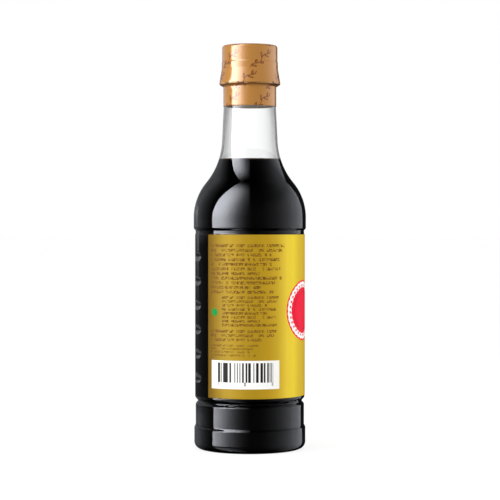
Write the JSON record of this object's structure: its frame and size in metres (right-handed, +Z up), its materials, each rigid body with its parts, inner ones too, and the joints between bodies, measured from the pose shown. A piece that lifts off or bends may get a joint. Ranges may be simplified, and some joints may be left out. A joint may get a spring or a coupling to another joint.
{
  "type": "soy sauce bottle",
  "caption": "Clear round bottle full of dark soy sauce, with domed shoulder, pinched waist, finger notches, gold wrap-around label and gold film over a flip-top closure.",
  "frame": {"origin": "centre of the flat ring that the bottle stands on", "axes": "+Z up the bottle's axis; -Y is the side where the back of the label is read; the bare strip between the rows of finger notches faces -X, 14 degrees towards +Y"},
  "size_m": [0.0658, 0.0658, 0.2363],
  "materials": {
    "clear_plastic": "clear, glossy",
    "soy_sauce": "near-black brown liquid",
    "closure_plastic": "satin, moulded",
    "gold_film": "metallised, satin",
    "label_film": "metallised gold print, satin"
  },
  "bodies": {
    "root": {"bottle": "clear_plastic", "sauce": "soy_sauce", "closure": "closure_plastic", "capsule": "gold_film", "label": "label_film"}
  },
  "joints": []
}
